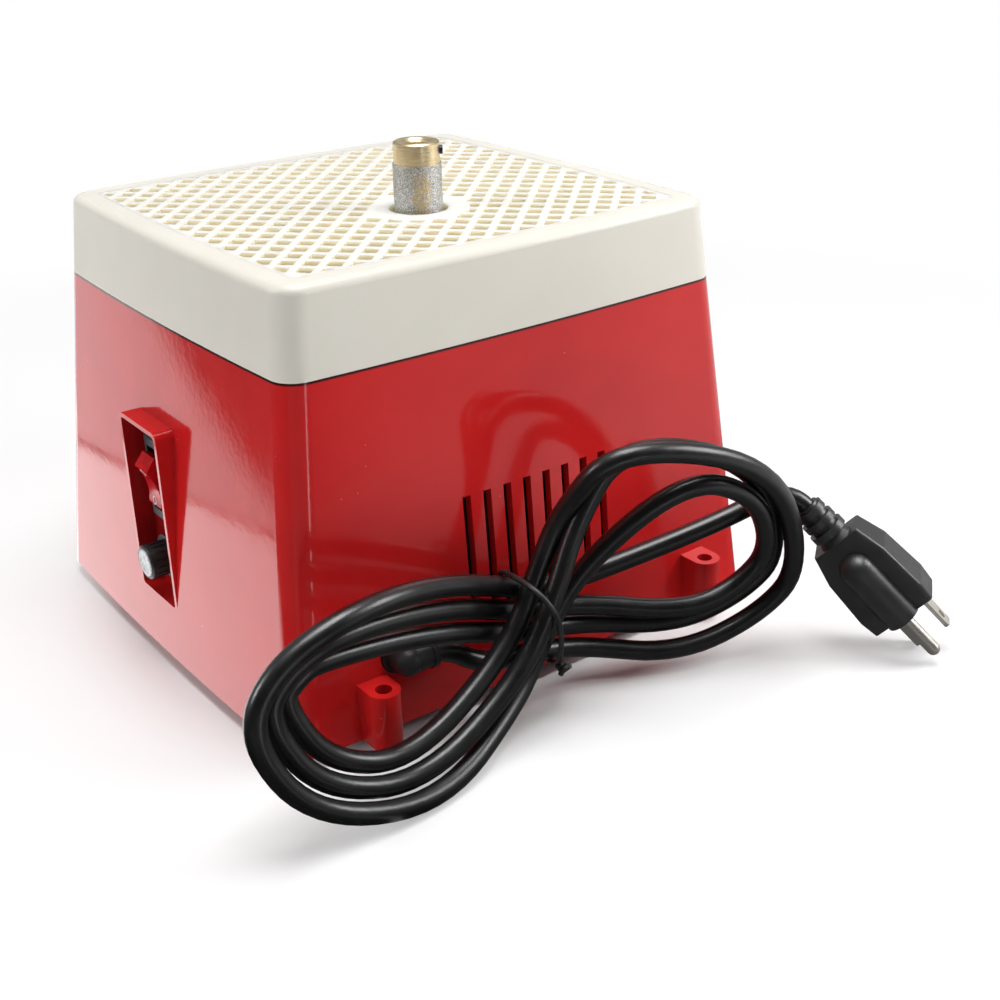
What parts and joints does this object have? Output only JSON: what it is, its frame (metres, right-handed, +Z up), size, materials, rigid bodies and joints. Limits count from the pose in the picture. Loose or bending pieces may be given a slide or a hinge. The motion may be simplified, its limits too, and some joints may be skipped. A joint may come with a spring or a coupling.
{
  "type": "stained glass grinder",
  "caption": "Bench glass grinder: drafted housing with a lift-off grid worktop over a water tray, a diamond bit on a vertical motor spindle, rocker switch, fuse and a coiled mains cord.",
  "frame": {"origin": "middle of the footprint of the body and its lugs, on the bench", "axes": "+Z up along the spindle, front at -Y, switch pocket on +X, cord and lugs at the back on +Y"},
  "size_m": [0.2557, 0.2716, 0.1767],
  "materials": {
    "red_shell": "glossy moulded red plastic",
    "cream_shell": "cream moulded plastic",
    "black_plastic": "black moulded plastic",
    "black_rubber": "black rubber",
    "cord_jacket": "black cord jacket",
    "plate_black": "black base plate",
    "zinc_steel": "zinc plated steel",
    "shaft_steel": "ground stainless steel",
    "can_steel": "painted steel motor can",
    "cast_aluminium": "die-cast aluminium",
    "ferrite": "sintered ferrite",
    "copper": "enamelled copper",
    "carbon": "pressed carbon",
    "tray_white": "off-white moulded plastic",
    "sponge_tan": "open-cell sponge",
    "brass": "turned brass",
    "diamond_grit": "diamond grit in a nickel plating",
    "switch_red": "red translucent plastic",
    "tin": "tinned metal",
    "fuse_glass": "glass fuse link with metal caps",
    "board_green": "circuit board",
    "wire_brown": "brown wire insulation",
    "wire_blue": "blue wire insulation",
    "nickel": "nickel plated brass"
  },
  "bodies": {
    "base": {"housing": "red_shell", "rear_lugs": "red_shell", "motor_deck": "plate_black", "deck_screws": "zinc_steel", "base_plate": "plate_black", "base_screws": "zinc_steel", "rubber_feet": "black_rubber", "rectifier_board": "board_green", "board_blocks": "black_plastic", "motor_bell": "cast_aluminium", "motor_screws": "zinc_steel", "motor_can": "can_steel", "rear_cap": "cast_aluminium", "ball_bearings": "shaft_steel", "field_magnets": "ferrite", "brush_holders": "black_plastic", "carbon_brushes": "carbon", "water_tray": "tray_white", "shaft_seal": "black_rubber", "tray_sponge": "sponge_tan", "switch_body": "black_plastic", "switch_terminals": "tin", "fuse_holder": "black_plastic", "fuse_nut": "black_plastic", "fuse_terminals": "tin", "strain_relief": "black_plastic", "live_wire": "wire_brown", "neutral_wire": "wire_blue", "fuse_wire": "wire_brown", "switch_wire": "wire_brown", "motor_cable": "wire_blue", "cord_lead": "cord_jacket", "cord_hank": "cord_jacket", "cord_tail": "cord_jacket", "cord_tie": "black_plastic", "plug_relief": "black_rubber", "plug_body": "black_rubber", "plug_blades": "nickel", "plug_ground_pin": "nickel"},
    "spindle": {"spindle_shaft": "shaft_steel", "rotor_core": "zinc_steel", "rotor_windings": "copper", "commutator": "copper", "cooling_fan": "black_plastic", "water_slinger": "black_plastic"},
    "bit": {"bit_sleeve": "brass", "diamond_band": "diamond_grit", "set_screw": "zinc_steel"},
    "worktop": {"worktop_rim": "cream_shell", "worktop_grid": "cream_shell"},
    "rocker": {"switch_rocker": "switch_red"},
    "fuse_drawer": {"fuse_carrier": "black_plastic", "fuse_link": "fuse_glass"},
    "fuse_knob": {"fuse_cap": "black_plastic"}
  },
  "joints": [
    {"name": "spindle_spin", "type": "hinge", "parent": "base", "child": "spindle", "pos_m": [0, 0.0196, 0.1], "axis": [0, 0, 1], "continuous": true},
    {"name": "bit_height", "type": "slide", "parent": "spindle", "child": "bit", "axis": [0, 0, 1], "range_m": [-0.004, 0.012]},
    {"name": "worktop_lift", "type": "slide", "parent": "base", "child": "worktop", "axis": [0, 0, 1], "range_m": [0, 0.06]},
    {"name": "rocker_tilt", "type": "hinge", "parent": "base", "child": "rocker", "pos_m": [0.0923, -0.0091, 0.0685], "axis": [0, 1, 0], "range_deg": [-28, 0]},
    {"name": "fuse_pull", "type": "slide", "parent": "base", "child": "fuse_drawer", "axis": [1, 0, 0], "range_m": [0, 0.035]},
    {"name": "fuse_twist", "type": "hinge", "parent": "fuse_drawer", "child": "fuse_knob", "pos_m": [0.0995, -0.0091, 0.0388], "axis": [1, 0, 0], "range_deg": [-90, 0]}
  ]
}
